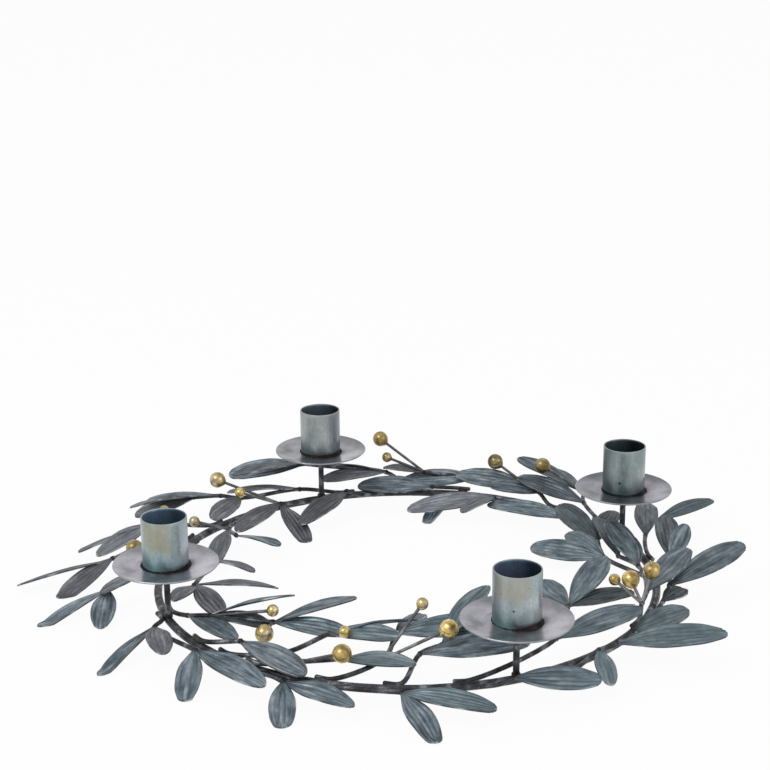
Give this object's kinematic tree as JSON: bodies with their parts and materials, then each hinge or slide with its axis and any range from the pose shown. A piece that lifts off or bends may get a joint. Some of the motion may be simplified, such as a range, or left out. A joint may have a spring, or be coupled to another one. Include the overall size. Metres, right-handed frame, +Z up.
{
  "type": "advent candle holder",
  "caption": "Free-standing metal wreath candle holder: an oval rod ring with leaf sprigs and berries carries candle cups on drip plates held up by short posts.",
  "frame": {"origin": "on the table, under the middle of the whole wreath's bounding box", "axes": "+Z up, +X along the wreath's longest reach, -Y towards the viewer of the picture"},
  "size_m": [0.4202, 0.3522, 0.07],
  "materials": {
    "dark_steel": "darkened steel rod with a brown cast",
    "plate_zinc": "matt lilac-grey zinc",
    "cup_zinc": "satin zinc with straw heat tint",
    "leaf_zinc": "ribbed blue-grey zinc sheet",
    "berry_gold": "aged gold"
  },
  "bodies": {
    "root": {"ring": "dark_steel", "post_1": "dark_steel", "post_2": "dark_steel", "post_3": "dark_steel", "post_4": "dark_steel", "drip_plate_1": "plate_zinc", "drip_plate_2": "plate_zinc", "drip_plate_3": "plate_zinc", "drip_plate_4": "plate_zinc", "candle_cup_1": "cup_zinc", "candle_cup_2": "cup_zinc", "candle_cup_3": "cup_zinc", "candle_cup_4": "cup_zinc", "leaf_sprig_01": "leaf_zinc", "leaf_sprig_02": "leaf_zinc", "leaf_sprig_03": "leaf_zinc", "leaf_sprig_04": "leaf_zinc", "leaf_sprig_05": "leaf_zinc", "leaf_sprig_06": "leaf_zinc", "leaf_sprig_07": "leaf_zinc", "leaf_sprig_08": "leaf_zinc", "leaf_sprig_09": "leaf_zinc", "leaf_sprig_10": "leaf_zinc", "leaf_sprig_11": "leaf_zinc", "leaf_sprig_12": "leaf_zinc", "leaf_sprig_13": "leaf_zinc", "leaf_sprig_14": "leaf_zinc", "leaf_sprig_15": "leaf_zinc", "leaf_sprig_16": "leaf_zinc", "leaf_sprig_17": "leaf_zinc", "leaf_sprig_18": "leaf_zinc", "leaf_sprig_19": "leaf_zinc", "leaf_sprig_20": "leaf_zinc", "leaf_sprig_21": "leaf_zinc", "leaf_sprig_22": "leaf_zinc", "leaf_sprig_23": "leaf_zinc", "leaf_sprig_24": "leaf_zinc", "leaf_sprig_25": "leaf_zinc", "leaf_sprig_26": "leaf_zinc", "leaf_sprig_27": "leaf_zinc", "leaf_sprig_28": "leaf_zinc", "leaf_sprig_29": "leaf_zinc", "berry_01": "berry_gold", "berry_02": "berry_gold", "berry_03": "berry_gold", "berry_04": "berry_gold", "berry_05": "berry_gold", "berry_06": "berry_gold", "berry_07": "berry_gold", "berry_08": "berry_gold", "berry_09": "berry_gold", "berry_10": "berry_gold", "berry_11": "berry_gold", "berry_12": "berry_gold", "berry_13": "berry_gold", "berry_14": "berry_gold", "berry_15": "berry_gold", "berry_16": "berry_gold", "berry_17": "berry_gold", "berry_18": "berry_gold"}
  },
  "joints": []
}
